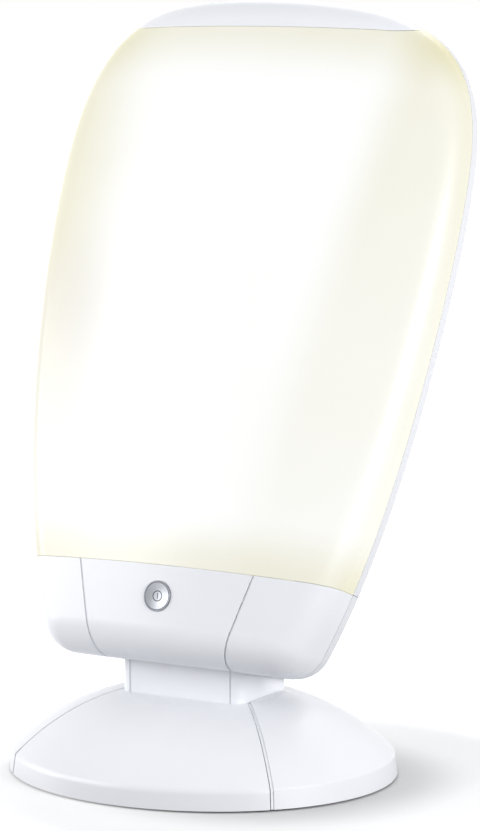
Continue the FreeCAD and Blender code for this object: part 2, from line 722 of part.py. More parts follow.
def is_front(face):
    """Whether a face looks out of the front of the head."""
    u0, u1, v0, v1 = face.ParameterRange
    return face.normalAt((u0 + u1) / 2, (v0 + v1) / 2).y < -0.9


def outline_place(share, inset):
    """A point inside the outline, at a share of the way along its right side."""
    curve = outline_curve(0)
    at = curve.FirstParameter + share * (curve.LastParameter - curve.FirstParameter)
    inside = inwards(curve, at, inset)
    return inside.x, inside.z


def depth_at(level, z):
    """Depth, in the head's axes, of a surface that lies at a level behind the screen's front line."""
    radius = CROWN_RADIUS - level
    return CROWN_RADIUS - math.sqrt(radius * radius - (z - CROWN_HEIGHT) ** 2)


def both_sides(places):
    """The same places on the left and the right."""
    return [(side * x, z) for x, z in places for side in LEFT_AND_RIGHT]


RIM_SCREWS = both_sides([outline_place(share, SCREW_INSET) for share in RIM_SCREW_SHARES])


def at_parting(place, behind):
    """A rim screw's place in the outline, carried back to a depth behind the parting line."""
    x, z = place
    parting = depth_at(PARTING, z)
    return x, parting + behind, z + parting * DRAW_SLOPE


CHASSIS_POSTS = both_sides(CHASSIS_PLACES)


def front_shell():
    """The walls ahead of the parting line, with the bosses for the rim screws."""
    bosses = [rod(BOSS_RADIUS, at_parting(p, -BOSS_LENGTH), Y_AXIS, 2 * BOSS_LENGTH) for p in RIM_SCREWS]
    holes = [rod(SCREW_RADIUS + SCREW_FIT, at_parting(p, SHELL_WALL - BOSS_LENGTH), Y_AXIS, 2 * BOSS_LENGTH)
             for p in RIM_SCREWS]
    void = front_form(SCREEN_WALL, PARTING + 1).cut(bosses)
    return front_form(0, PARTING - PARTING_GAP).cut(void).cut(holes)


def cap_region(drop):
    """The space over the cap's lower edge, which climbs from the front to the back."""
    (front, _), _, (rear, _) = CAP_EDGE
    points = [(-FAR, y, z - drop) for y, z in CAP_EDGE] + [(-FAR, rear, FAR), (-FAR, front, FAR)]
    return prism(points, Vector(2 * FAR, 0, 0))


def diffuser(front):
    """The lit screen with its rounded edge and side walls."""
    return front.common(above(SCREEN_FOOT)).cut(cap_region(JOINT_GAP))


def top_cap(front):
    """The plain cap over the top edge."""
    return front.common(cap_region(0))


def panel_region():
    """The middle panel's field, which narrows towards the neck."""
    top, foot = SCREEN_FOOT, HEAD_BOTTOM - SLOT_CLEARANCE
    slope = (SEAM_TOP_X - SEAM_FOOT_X) / (top - HEAD_BOTTOM)
    foot_x = SEAM_TOP_X - slope * (top - foot)
    points = [(-SEAM_TOP_X, -FAR, top), (SEAM_TOP_X, -FAR, top), (foot_x, -FAR, foot), (-foot_x, -FAR, foot)]
    return prism(points, Vector(0, 2 * FAR, 0))


def lower_shell(front):
    """The front shell below the screen, open where the neck passes."""
    return front.common(below(SCREEN_FOOT - JOINT_GAP)).cut(neck_slot())


def lower_centre_panel(lower):
    """The panel that holds the button."""
    shell = lower.common(panel_region())
    hole = rod(BEZEL_BORE + BEZEL_WALL + FACE_PLAY, (0, -PANEL_REACH, 0), Y_AXIS, 4 * PANEL_REACH)
    recess = rod(BEZEL_RADIUS + FACE_PLAY, (0, -PANEL_REACH, 0), Y_AXIS, PANEL_REACH + BEZEL_SINK)
    return shell.cut(in_button_frame(hole.fuse(recess)))


def lower_side_cover(lower, skin, side):
    """The cover beside the middle panel, with a sunk ledge along their seam."""
    half = block(*sorted((0, side * FAR)), -FAR, FAR, -FAR, FAR)
    field = panel_region().translated(Vector(side * PANEL_GAP, 0, 0))
    ledge = skin.common(field.translated(Vector(side * PANEL_STEP, 0, 0)))
    return lower.common(half).cut(field).cut(ledge)


# ---- rear of the head ----

def back_prism(inset):
    """Everything ahead of the back's long curve, moved inwards by a wall."""
    low, middle, high = [Vector(-FAR, y - inset, z) for y, z in BACK_PROFILE]
    edges = [
        Part.Arc(low, middle, high).toShape(),
        Part.LineSegment(high, Vector(-FAR, -FAR, high.z)).toShape(),
        Part.LineSegment(Vector(-FAR, -FAR, high.z), Vector(-FAR, -FAR, low.z)).toShape(),
        Part.LineSegment(Vector(-FAR, -FAR, low.z), low).toShape(),
    ]
    return Part.Face(Part.Wire(edges)).extrude(Vector(2 * FAR, 0, 0))


def back_block(inset):
    """The raised back seen from behind, through the whole depth, moved inwards by a wall."""
    right = [Vector(x, 0, z) for x, z in BACK_POINTS]
    left = [Vector(-x, 0, z) for x, z in reversed(BACK_POINTS)]
    face = Part.Face(Part.makePolygon(right + left + right[:1]))
    if inset:
        face = face.makeOffset2D(-inset, 2)
    solid = face.extrude(DRAW * (FAR / 3))
    return solid.makeFillet(BACK_CORNER - inset, edges_along(solid, DRAW))


def rear_form(inset):
    """The rear's solid outer form: a rounded rim and a raised back."""
    start = PARTING - 1 if inset else PARTING
    rim = outline_prism(inset).common(band(start, PARTING + RIM_DEPTH - inset))
    middle = depth_at(PARTING + RIM_DEPTH / 2, CROWN_HEIGHT)
    rear_face = largest(f for f in rim.Faces if f.CenterOfMass.y > middle)
    rim = rim.makeFillet(RIM_ROUND - inset, rear_face.Edges)
    body = back_block(inset).common(back_prism(inset))
    back_face = largest(f for f in body.Faces if f.CenterOfMass.y > CHASSIS_Y and abs(f.CenterOfMass.x) < 1)
    body = body.makeFillet(BODY_ROUND - inset, back_face.Edges).common(band(start, FAR / 2))
    return rim.fuse(body)


def long_screw(place, fit=0.0, extra=0.0):
    """A screw from the rear rim forwards into the front shell, or the hole for it."""
    head = rod(SCREW_HEAD + fit, at_parting(place, HEAD_SEAT), Y_AXIS, SCREW_HEAD_HEIGHT + extra)
    length = HEAD_SEAT + BOSS_LENGTH - SHELL_WALL - 1
    shank = rod(SCREW_RADIUS + fit, at_parting(place, HEAD_SEAT - length), Y_AXIS, length)
    return head.fuse(shank).removeSplitter()


def rear_shell():
    """The walls behind the parting line, with sleeves for the rim screws and posts for the chassis."""
    inside = [rod(BOSS_RADIUS, at_parting(p, -1), Y_AXIS, RIM_DEPTH * 2) for p in RIM_SCREWS]
    seat = CHASSIS_Y + CHASSIS_THICK
    inside += [rod(POST_RADIUS, (x, seat, z), Y_AXIS, FAR / 4) for x, z in CHASSIS_POSTS]
    holes = [long_screw(p, SCREW_FIT, RIM_DEPTH) for p in RIM_SCREWS]
    holes += [rod(SCREW_RADIUS + SCREW_FIT, (x, CHASSIS_Y, z), Y_AXIS, CHASSIS_SCREW + 1)
              for x, z in CHASSIS_POSTS]
    return rear_form(0).cut(rear_form(SHELL_WALL).cut(inside)).cut(holes)


def rear_housing(rear):
    """The upper rear shell with its cooling slots."""
    return rear.common(above(SCREEN_FOOT)).cut(vents())


def vents():
    """Rows of cooling slots through the back."""
    slots = []
    for column in LEFT_AND_RIGHT:
        for row in range(VENT_COUNT):
            z = VENT_Z + row * VENT_PITCH
            x0 = VENT_MIDDLE if column > 0 else -VENT_MIDDLE - VENT_LENGTH
            slot = block(x0, x0 + VENT_LENGTH, CHASSIS_Y + CHASSIS_SCREW, FAR, z, z + VENT_WIDTH)
            slots.append(slot.makeFillet(VENT_WIDTH / 2 - VENT_END, edges_along(slot, Y_AXIS)))
    return group(slots)


def lower_rear_housing(rear):
    """The lower rear shell, slotted for the neck."""
    return rear.common(below(SCREEN_FOOT - JOINT_GAP)).cut(neck_slot())


def neck_slot():
    """The space that the neck sweeps in the head, over the whole tilt, with its clearance."""
    radius = NECK_DEPTH / 2 + SLOT_CLEARANCE
    x = NECK_WIDTH / 2 + SLOT_CLEARANCE
    slot = rod(radius, (-x, HINGE.y, HINGE.z), X_AXIS, 2 * x)
    for angle in (LEAN + TILT_BACK, LEAN, LEAN - TILT_FORWARD):
        leg = block(-x, x, -radius, radius, -SLOT_REACH, 0)
        leg = leg.rotated(Vector(0, 0, 0), X_AXIS, angle)
        slot = slot.fuse(leg.translated(HINGE))
    return slot.removeSplitter()


# ---- gear inside the head ----

def lamp_form(side, radius, foot):
    """Two legs with round tops and the short bridge between them."""
    pieces = []
    top = LAMP_FOOT + LAMP_LENGTH - TUBE_RADIUS
    for leg in LEFT_AND_RIGHT:
        x = side * LAMP_X + leg * TUBE_SPACING / 2
        pieces.append(rod(radius, (x, LAMP_Y, foot), Z_AXIS, top - foot))
        pieces.append(Part.makeSphere(radius, Vector(x, LAMP_Y, top)))
    bridge_x = side * LAMP_X - TUBE_SPACING / 2
    bridge = radius - TUBE_RADIUS + BRIDGE_RADIUS
    pieces.append(rod(bridge, (bridge_x, LAMP_Y, top - BRIDGE_DROP), X_AXIS, TUBE_SPACING))
    return join(pieces)


def lamp_tube(side):
    """One hollow twin tube, open in its cap."""
    foot = LAMP_FOOT + LAMP_CAP_HEIGHT
    return lamp_form(side, TUBE_RADIUS, foot).cut(lamp_form(side, TUBE_RADIUS - GLASS_WALL, foot - 1))


def lamp_cap(side):
    """The moulded cap on the foot of a twin tube."""
    half = TUBE_SPACING / 2 + TUBE_RADIUS + LAMP_CAP_WALL
    depth = TUBE_RADIUS + LAMP_CAP_WALL
    x = side * LAMP_X
    cap = block(x - half, x + half, LAMP_Y - depth, LAMP_Y + depth, LAMP_FOOT, LAMP_FOOT + LAMP_CAP_HEIGHT)
    return cap.makeFillet(LAMP_CAP_CORNER, edges_along(cap, Z_AXIS))


def lampholder(side):
    """The four-pin holder under a lamp, hooked to the reflector."""
    half = TUBE_SPACING / 2 + TUBE_RADIUS + LAMP_CAP_WALL + 1
    depth = TUBE_RADIUS + LAMP_CAP_WALL
    x = side * LAMP_X
    holder = block(x - half, x + half, LAMP_Y - depth, REFLECTOR_Y, LAMP_FOOT - HOLDER_HEIGHT, LAMP_FOOT)
    latch = block(x - half / 2, x + half / 2, LAMP_Y + depth + FACE_PLAY, REFLECTOR_Y, LAMP_FOOT,
                  LAMP_FOOT + LATCH_HEIGHT)
    return join([holder, latch])


def tube_clips():
    """Spring clips that hold the tubes off the reflector."""
    clips = []
    inner = TUBE_SPACING / 2 + TUBE_RADIUS + RUNNING_GAP
    outer = inner + CLIP_THICK
    for x in (-LAMP_X, LAMP_X):
        for level in CLIP_LEVELS:
            top = level + CLIP_HEIGHT
            back = block(x - outer, x + outer, REFLECTOR_Y - CLIP_THICK, REFLECTOR_Y, level, top)
            left = block(x - outer, x - inner, LAMP_Y - CLIP_REACH, REFLECTOR_Y, level, top)
            right = block(x + inner, x + outer, LAMP_Y - CLIP_REACH, REFLECTOR_Y, level, top)
            clips.append(join([back, left, right]))
    return group(clips)


def reflector():
    """The folded sheet behind the tubes, with its wings turned forwards."""
    half = REFLECTOR_HALF_WIDTH
    flat = half - WING_WIDTH
    front = [(-half, REFLECTOR_Y - WING_RISE), (-flat, REFLECTOR_Y), (flat, REFLECTOR_Y),
             (half, REFLECTOR_Y - WING_RISE)]
    rear = [(x, y + REFLECTOR_THICK) for x, y in reversed(front)]
    outline = [(x, y, REFLECTOR_FOOT) for x, y in front + rear]
    sheet = prism(outline, Vector(0, 0, REFLECTOR_TOP - REFLECTOR_FOOT))
    return sheet.common(outline_prism(SHELL_WALL + REFLECTOR_MARGIN))


def spacer_posts():
    """Posts between the reflector and the chassis."""
    foot = REFLECTOR_Y + REFLECTOR_THICK
    posts = both_sides(POST_PLACES)
    return group([rod(POST_RADIUS, (x, foot, z), Y_AXIS, CHASSIS_Y - foot) for x, z in posts])


def chassis_plate():
    """The steel plate that carries the lamps and their gear."""
    plate = back_block(CHASSIS_INSET).common(
        block(-FAR, FAR, CHASSIS_Y, CHASSIS_Y + CHASSIS_THICK, CHASSIS_FOOT, CHASSIS_TOP))
    for x, z in CHASSIS_POSTS:
        plate = plate.cut(rod(SCREW_RADIUS + SCREW_FIT, (x, 0, z), Y_AXIS, FAR))
    return plate


def chassis_screws():
    """Screws that hold the chassis to the rear housing's posts."""
    screws = []
    for x, z in CHASSIS_POSTS:
        shank = rod(SCREW_RADIUS, (x, CHASSIS_Y, z), Y_AXIS, CHASSIS_SCREW)
        head = rod(SCREW_HEAD, (x, CHASSIS_Y - SCREW_HEAD_HEIGHT, z), Y_AXIS, SCREW_HEAD_HEIGHT)
        screws.append(join([shank, head]))
    return group(screws)


def gear_case():
    """The electronic lamp gear's tin case, open towards the chassis."""
    foot = CHASSIS_Y + CHASSIS_THICK
    half = GEAR_WIDTH / 2
    case = block(-half, half, foot, foot + GEAR_DEPTH, GEAR_FOOT, GEAR_FOOT + GEAR_HEIGHT)
    inner = block(-half + GEAR_WALL, half - GEAR_WALL, foot, foot + GEAR_DEPTH - GEAR_WALL,
                  GEAR_FOOT + GEAR_WALL, GEAR_FOOT + GEAR_HEIGHT - GEAR_WALL)
    return case.cut(inner)


def gear_board():
    """The circuit board on its four pegs, with its choke, capacitors and transformer."""
    plate = CHASSIS_Y + CHASSIS_THICK
    foot = plate + BOARD_PEG
    half = GEAR_WIDTH / 2 - GEAR_WALL - RUNNING_GAP
    bottom = GEAR_FOOT + GEAR_WALL + RUNNING_GAP
    top = GEAR_FOOT + GEAR_HEIGHT - GEAR_WALL - RUNNING_GAP
    pieces = [block(-half, half, foot, foot + BOARD_THICK, bottom, top)]
    for x, z, width, height, rise in (CHOKE, TRANSFORMER, FILTER):
        pieces.append(block(x, x + width, foot, foot + rise, bottom + z, bottom + z + height))
    for x, z, radius, rise in (LARGE_CAN, SMALL_CAN):
        pieces.append(rod(radius, (x, foot, bottom + z), Y_AXIS, rise))
    for x in (PEG_INSET - half, half - PEG_INSET):
        for z in (bottom + PEG_INSET, top - PEG_INSET):
            pieces.append(rod(PEG_RADIUS, (x, plate, z), Y_AXIS, BOARD_PEG + BOARD_THICK))
    return join(pieces)


def terminal_block():
    """The mains terminal block on the chassis."""
    foot = CHASSIS_Y + CHASSIS_THICK
    top = GEAR_FOOT - TERMINAL_DROP
    half = TERMINAL_WIDTH / 2
    body = block(-half, half, foot, foot + TERMINAL_DEPTH, top - TERMINAL_HEIGHT, top)
    for x in (-TERMINAL_PITCH, 0, TERMINAL_PITCH):
        bottom = (x, foot + TERMINAL_DEPTH / 3, top - TERMINAL_HEIGHT / 2)
        body = body.cut(rod(TERMINAL_WELL, bottom, Y_AXIS, TERMINAL_DEPTH))
    return body


def rear_screws():
    """The screws seen in the rear rim."""
    screws = []
    for place in RIM_SCREWS:
        top = Vector(*at_parting(place, HEAD_SEAT + SCREW_HEAD_HEIGHT))
        screws.append(long_screw(place).cut(cross_slot((0, 0, 0), Y_AXIS * -1, Z_AXIS).translated(top)))
    return group(screws)


# ---- button ----

def in_button_frame(shape):
    """Set a piece on the middle panel, square to its surface."""
    tilt = math.degrees(math.asin((CROWN_HEIGHT - BUTTON_Z) / CROWN_RADIUS))
    place = Placement(Vector(0, depth_at(0, BUTTON_Z), BUTTON_Z), Rotation(X_AXIS, tilt))
    return shape.transformed(place.toMatrix())


def button_bezel():
    """The thin ring round the button."""
    sleeve = tube(BEZEL_BORE + BEZEL_WALL, BEZEL_BORE, (0, 0, 0), Y_AXIS, BEZEL_DEPTH)
    flange = tube(BEZEL_RADIUS, BEZEL_BORE, (0, -BEZEL_PROUD, 0), Y_AXIS, BEZEL_PROUD + BEZEL_SINK)
    outer = [e for e in flange.Edges if abs(e.BoundBox.YMin + BEZEL_PROUD) < 0.01]
    flange = flange.makeFillet(BEZEL_ROUND, outer)
    return in_button_frame(join([sleeve, flange]))


def dish():
    """The ball that hollows the button's face."""
    radius = (BUTTON_RADIUS ** 2 + BUTTON_DISH ** 2) / (2 * BUTTON_DISH)
    return Part.makeSphere(radius, Vector(0, -BEZEL_PROUD - radius + BUTTON_DISH, 0))


def symbol_solid(depth):
    """The power symbol's ring and bar, as deep as asked from the button's front."""
    front, reach = -BEZEL_PROUD - 1, SPRING_SEAT + BEZEL_PROUD
    ring = tube(SYMBOL_RADIUS, SYMBOL_RADIUS - SYMBOL_LINE, (0, front, 0), Y_AXIS, reach)
    half = SYMBOL_LINE / 2
    bar = block(-half, half, front, front + reach, -SYMBOL_BAR / 2, SYMBOL_BAR / 2)
    return ring.fuse(bar).common(dish().translated(Vector(0, depth, 0)))


def power_button():
    """The dished button on its stem."""
    face = rod(BUTTON_RADIUS, (0, -BEZEL_PROUD, 0), Y_AXIS, SPRING_SEAT + BEZEL_PROUD)
    stem = rod(STEM_RADIUS, (0, 0, 0), Y_AXIS, switch_front() - FACE_PLAY)
    button = face.fuse(stem).removeSplitter()
    return in_button_frame(button.cut(dish()).cut(symbol_solid(SYMBOL_DEPTH)))


def button_symbol():
    """The inlaid ring and bar."""
    return in_button_frame(symbol_solid(SYMBOL_DEPTH).cut(dish()))


def button_spring():
    """The return spring round the stem: tilted half turns, each running on from the last."""
    first, last = SPRING_SEAT + SPRING_WIRE + FACE_PLAY, SPRING_SEAT + SPRING_LENGTH
    rise = (last - first) / (2 * SPRING_TURNS)
    halves = []
    for turn in range(2 * SPRING_TURNS):
        side = 1 if turn % 2 == 0 else -1
        start = Vector(side * SPRING_RADIUS, first + turn * rise, 0)
        centre = Vector(0, first + (turn + 0.5) * rise, 0)
        heading = Z_AXIS * -side
        wire = Part.Face(Part.Wire(Part.makeCircle(SPRING_WIRE, start, heading)))
        halves.append(wire.revolve(centre, (start - centre).cross(heading), 180))
    return in_button_frame(join(halves))


def switch_front():
    """Depth of the switch body's front behind the panel."""
    return SPRING_SEAT + SPRING_LENGTH + SPRING_WIRE + FACE_PLAY


def switch_body():
    """The latching mains switch that the stem works."""
    half = SWITCH_SIZE / 2
    front = switch_front()
    body = block(-half, half, front, front + SWITCH_DEPTH, -half, half)
    body = body.makeFillet(SWITCH_CORNER, edges_along(body, Y_AXIS))
    well = rod(STEM_RADIUS + RUNNING_GAP, (0, front, 0), Y_AXIS, BUTTON_TRAVEL + SWITCH_SPARE)
    return in_button_frame(body.cut(well))


def switch_board():
    """The small board that carries the switch."""
    front = switch_front() + SWITCH_DEPTH
    half = SWITCH_SIZE / 2 + SWITCH_MARGIN
    board = block(-half, half, front, front + BOARD_THICK, -half, half)
    return in_button_frame(board)


def switch_carrier():
    """The moulded bracket from the board to the reflector's lower lip."""
    half = SWITCH_SIZE / 2 + SWITCH_MARGIN - 1
    lip_top = REFLECTOR_FOOT + CARRIER_HEIGHT
    lip = block(-half, half, REFLECTOR_Y - CARRIER_LIP, REFLECTOR_Y, REFLECTOR_FOOT, lip_top)
    start = switch_front() + SWITCH_DEPTH + BOARD_THICK
    arm = in_button_frame(block(-half, half, start, start + FAR / 10, -CARRIER_ARM / 2, CARRIER_ARM / 2))
    arm = arm.common(block(-FAR, FAR, -FAR, REFLECTOR_Y, -FAR, FAR))
    return join([lip, arm])


# ---- build ----

def base_nodes():
    """Every node of the base body, in the standing frame."""
    return {
        "base_front_cover": base_middle_cover(-1),
        "base_rear_cover": base_middle_cover(1),
        "base_left_wing": base_wing(-1),
        "base_right_wing": base_wing(1),
        "base_bottom_plate": base_bottom_plate(),
        "ballast_weight": ballast_weight(),
        "rubber_feet": rubber_feet(),
        "base_screws": base_screws(),
        "weight_screws": weight_screws(),
        "cord_gland": cord_gland(),
        "neck_column": neck_column(),
        "neck_top": neck_top(),
        "neck_bracket": neck_bracket(),
        "hinge_axle": hinge_axle(),
        "friction_washers": friction_washers(),
        "hinge_nuts": hinge_nuts(),
    }


def head_nodes():
    """Every node of the head and the button, in the head's own axes."""
    front, rear = front_shell(), rear_shell()
    lower = lower_shell(front)
    skin = front_form(0, PARTING).cut(front_form(STEP_DEPTH, PARTING + 1))
    return {
        "diffuser": diffuser(front),
        "top_cap": top_cap(front),
        "lower_centre_panel": lower_centre_panel(lower),
        "lower_left_cover": lower_side_cover(lower, skin, -1),
        "lower_right_cover": lower_side_cover(lower, skin, 1),
        "rear_housing": rear_housing(rear),
        "lower_rear_housing": lower_rear_housing(rear),
        "rear_screws": rear_screws(),
        "head_bracket": head_bracket(),
        "left_lamp_tube": lamp_tube(-1),
        "right_lamp_tube": lamp_tube(1),
        "left_lamp_cap": lamp_cap(-1),
        "right_lamp_cap": lamp_cap(1),
        "left_lampholder": lampholder(-1),
        "right_lampholder": lampholder(1),
        "tube_clips": tube_clips(),
        "reflector": reflector(),
        "spacer_posts": spacer_posts(),
        "chassis_plate": chassis_plate(),
        "chassis_screws": chassis_screws(),
        "gear_case": gear_case(),
        "gear_board": gear_board(),
        "terminal_block": terminal_block(),
        "button_bezel": button_bezel(),
        "power_button": power_button(),
        "button_symbol": button_symbol(),
        "button_spring": button_spring(),
        "switch_body": switch_body(),
        "switch_board": switch_board(),
        "switch_carrier": switch_carrier(),
    }


def main():
    os.makedirs("parts", exist_ok=True)
    for name, shape in base_nodes().items():
        save(name, shape)
    for name, shape in head_nodes().items():
        save(name, shape, HEAD_FRAME)


main()
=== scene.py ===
import math

import bpy
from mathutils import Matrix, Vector


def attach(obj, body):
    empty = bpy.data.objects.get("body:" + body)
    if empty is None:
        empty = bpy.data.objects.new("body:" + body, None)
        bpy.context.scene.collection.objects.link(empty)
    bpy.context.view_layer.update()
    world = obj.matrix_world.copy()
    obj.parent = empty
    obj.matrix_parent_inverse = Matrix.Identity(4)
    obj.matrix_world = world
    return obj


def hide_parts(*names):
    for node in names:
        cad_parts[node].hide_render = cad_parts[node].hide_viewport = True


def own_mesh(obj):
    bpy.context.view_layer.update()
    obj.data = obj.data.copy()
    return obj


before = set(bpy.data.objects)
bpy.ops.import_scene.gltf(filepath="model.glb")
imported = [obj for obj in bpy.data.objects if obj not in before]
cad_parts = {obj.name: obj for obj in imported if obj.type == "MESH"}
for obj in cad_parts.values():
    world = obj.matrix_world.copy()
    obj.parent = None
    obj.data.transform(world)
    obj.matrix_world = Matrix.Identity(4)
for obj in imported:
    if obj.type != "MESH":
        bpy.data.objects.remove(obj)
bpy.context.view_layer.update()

bl_info = {
    "name": "Light Therapy Lamp",
    "version": (1, 0, 0),
    "blender": (4, 5, 0),
    "location": "View3D > Sidebar > Therapy Lamp",
    "description": "Finishes and studio of a light therapy lamp with a leaning lit screen",
    "category": "Object",
}

MM = 0.001

# The head's own frame: the foot of the screen's front line, and how far the head leans back.
HEAD_FOOT = Vector((0.0, -70.9, 174.1)) * MM
HEAD_LEAN = math.radians(19.6)
SCREEN_HEIGHT = 437.0 * MM

# Share of the screen's light that is lost left and right of the tubes, each at the foot and at the top.
LEFT_LOSS = (0.16, 0.27)
RIGHT_LOSS = (0.03, 0.15)
# The same along the foot, along the top and on the side walls, and the share that gives the dim glow.
FOOT_LOSS = 0.14
TOP_LOSS = 0.16
SIDE_LOSS = 0.07
FULL_LOSS = 0.36
LOSS_DRIFT = 0.008
# Depths behind the front line between which the front turns into a side wall.
SIDE_WALL = (0.035, 0.06)
# Where the painted shade on the body low on the left sets in and is reached, across and along the screen.
# This painted shade keeps the light of the left lamp from washing out that edge.
LOW_LEFT_ACROSS = (-0.05, -0.13)
LOW_LEFT_ALONG = (0.3, 0.18)
SCREEN_GRAIN = 1500.0

# The part of a noise's range in which most of its values lie.
NOISE_SPREAD = (0.3, 0.7)
# A moulding's darker patches, as a share of its colour, and how far its roughness wanders.
PATCH_TONE = 0.985
ROUGHNESS_DRIFT = 0.03
# The same for a drawn metal's lines.
LINE_TONE = 0.88
LINE_ROUGHNESS = 0.06

# Painted shade and light: the rear shells are drawn a shade greyer than the covers, the cap a shade lighter.
REAR_PAINTED_SHADE = 0.92
CAP_PAINTED_LIGHT = 1.05
# A darker grey-brown tone on the dome's upward faces: its share and its colour.
DOME_UPWARD_TONE = 0.03
UPWARD_TONE_COLOUR = (0.62, 0.6, 0.57)

# The floor: a point beside the lamp round which the floor only reflects, and the distances from it between
# which the floor gives off first a share of white and then full white. The dark patch that this leaves is a
# painted shadow, added to the shadow that the lamps cast.
PAINTED_SHADOW_MIDDLE = (0.06, -0.005, 0.0)
PAINTED_SHADOW_EDGE = (0.097, 0.169)
WHITE_EDGE = (0.205, 0.29)
OUTER_SHARE = 0.31
# Distances between which the floor's colour, as it lights the lamp, goes from its foot's to its own.
# The darker colour at the foot is painted shade in the light the floor bounces onto the lamp.
BOUNCE_EDGE = (0.2, 0.5)
SHADOWED_WHITE = (0.72, 0.72, 0.72)
WHITE = (1.0, 1.0, 1.0)
SKY = (0.96, 0.98, 1.0)
FLOOR_SIZE = 40.0

# The soft lamps: the setting of each one's power, its place round and above the lamp in degrees, and its
# width and height. They stand off at one distance and face one point.
SOFT_LAMPS = (("left", -75.0, 4.2, (1.2, 0.85)), ("front", -45.0, 16.0, (1.2, 1.2)),
              ("right", 75.0, 12.0, (1.2, 1.2)), ("back", -160.0, 40.0, (1.2, 1.2)))
LAMP_DISTANCE = 2.4
LAMP_AIM = Vector((0.0, 0.0, 0.25))


# ---- settings a user would change ----

def colour_setting(name, description, default):
    """A colour property."""
    return bpy.props.FloatVectorProperty(name=name, description=description, subtype="COLOR", size=3,
                                         min=0.0, max=1.0, default=default)


def length_setting(name, description, default):
    """A length property in metres."""
    return bpy.props.FloatProperty(name=name, description=description, default=default, min=0.0, precision=5,
                                   unit="LENGTH")


def share_setting(name, description, default, top=1.0):
    """A plain number property."""
    return bpy.props.FloatProperty(name=name, description=description, default=default, min=0.0, max=top)


class LAMP_PG_screen(bpy.types.PropertyGroup):
    """The lit screen."""
    hot: colour_setting("Bright glow", "Light given out in front of the tubes", (0.585, 0.585, 0.585))
    dim: colour_setting("Dim glow", "Light given out where it falls off most", (0.32, 0.285, 0.1))
    body: colour_setting("Body", "Opal plastic in front of the tubes", (0.40, 0.40, 0.39))
    # Painted light: the body's colour turns darker and creamier with the glow's fall-off.
    painted_glow_body: colour_setting("Body with painted glow", "Opal plastic where light falls off", (0.37, 0.36, 0.27))
    # Painted shade: a darker body low on the left.
    painted_shade_body: colour_setting("Body with painted shade", "Opal plastic low on the left", (0.31, 0.3, 0.29))
    left_limit: length_setting("Left limit", "Bright zone's reach to the left, at the foot", 0.056)
    left_spread: length_setting("Left spread", "How much farther it reaches at the top", 0.013)
    left_falloff: length_setting("Left fall-off", "Width over which the light fades to the left", 0.120)
    right_limit: length_setting("Right limit", "Bright zone's reach to the right, at the foot", 0.038)
    right_spread: length_setting("Right spread", "How much farther it reaches at the top", 0.070)
    right_falloff: length_setting("Right fall-off", "Width over which the light fades to the right", 0.045)
    foot_fade: length_setting("Foot fade", "Height of the dimmer strip at the foot", 0.045)
    top_fade: length_setting("Top fade", "Height of the dimmer strip at the top", 0.057)
    roughness: share_setting("Roughness", "Roughness of the opal plastic", 0.3)


class LAMP_PG_housing(bpy.types.PropertyGroup):
    """The white mouldings."""
    colour: colour_setting("Colour", "White of the mouldings", (0.86, 0.868, 0.9))
    roughness: share_setting("Roughness", "Roughness of the satin surface", 0.36)
    grain: length_setting("Grain", "Size of the moulding's fine grain", 0.0009)
    depth: length_setting("Grain depth", "Depth of the fine grain", 0.00001)


class LAMP_PG_button(bpy.types.PropertyGroup):
    """The power button and its ring."""
    silver: colour_setting("Silver", "Silver lacquer of the button", (0.33, 0.34, 0.365))
    ring: colour_setting("Ring", "Lacquer of the ring", (0.2, 0.21, 0.24))
    ink: colour_setting("Ink", "Inlaid symbol", (0.03, 0.032, 0.04))


class LAMP_PG_stage(bpy.types.PropertyGroup):
    """Camera, floor and lights."""
    azimuth: bpy.props.FloatProperty(name="Azimuth", description="Camera's place round the lamp",
                                     subtype="ANGLE", default=math.radians(30.77))
    yaw: bpy.props.FloatProperty(name="Yaw", description="How far the camera turns off the base's middle",
                                 subtype="ANGLE", default=math.radians(0.648))
    pitch: bpy.props.FloatProperty(name="Pitch", description="How far the camera looks down", subtype="ANGLE",
                                   default=math.radians(7.488))
    distance: length_setting("Distance", "Camera's distance from the base's middle", 2.568)
    height: length_setting("Height", "Camera's height over the floor", 0.6149)
    lens: bpy.props.FloatProperty(name="Lens", description="Focal length in millimetres", default=145.85)
    world: share_setting("World", "Strength of the light from all round", 0.5, 5.0)
    left: share_setting("Left", "Power of the soft lamp at the left, in watts", 19.5, 500.0)
    front: share_setting("Front", "Power of the soft lamp ahead and to the left, in watts", 21.0, 500.0)
    right: share_setting("Right", "Power of the soft lamp at the right, in watts", 39.0, 500.0)
    back: share_setting("Back", "Power of the soft lamp behind, in watts", 12.0, 500.0)
    floor: colour_setting("Floor", "Colour of the floor as it lights the lamp", (0.37, 0.38, 0.4))
    # Painted shade: a darker floor near the foot, in the light it bounces.
    painted_floor_shade: colour_setting("Painted floor shade", "The same, close to the lamp's foot", (0.13, 0.135, 0.15))
    # Share of white inside the painted shadow beside the base.
    floor_near: share_setting("Floor near", "Share of white that the floor shows of itself by the lamp", 0.0)


# ---- wiring of materials ----

def wire(tree, target, value):
    """Set a socket's value, or link it."""
    if isinstance(value, bpy.types.NodeSocket):
        tree.links.new(value, target)
    else:
        target.default_value = value


def add(tree, kind, options=None, **inputs):
    """A node with its options and its inputs, named with underscores for spaces."""
    node = tree.nodes.new(kind)
    for name, value in (options or {}).items():
        setattr(node, name, value)
    for name, value in inputs.items():
        wire(tree, node.inputs[name.replace("_", " ")], value)
    return node


def calc(tree, operation, *values):
    """The result of a Math node."""
    node = add(tree, "ShaderNodeMath", {"operation": operation})
    for socket, value in zip(node.inputs, values):
        wire(tree, socket, value)
    return node.outputs[0]


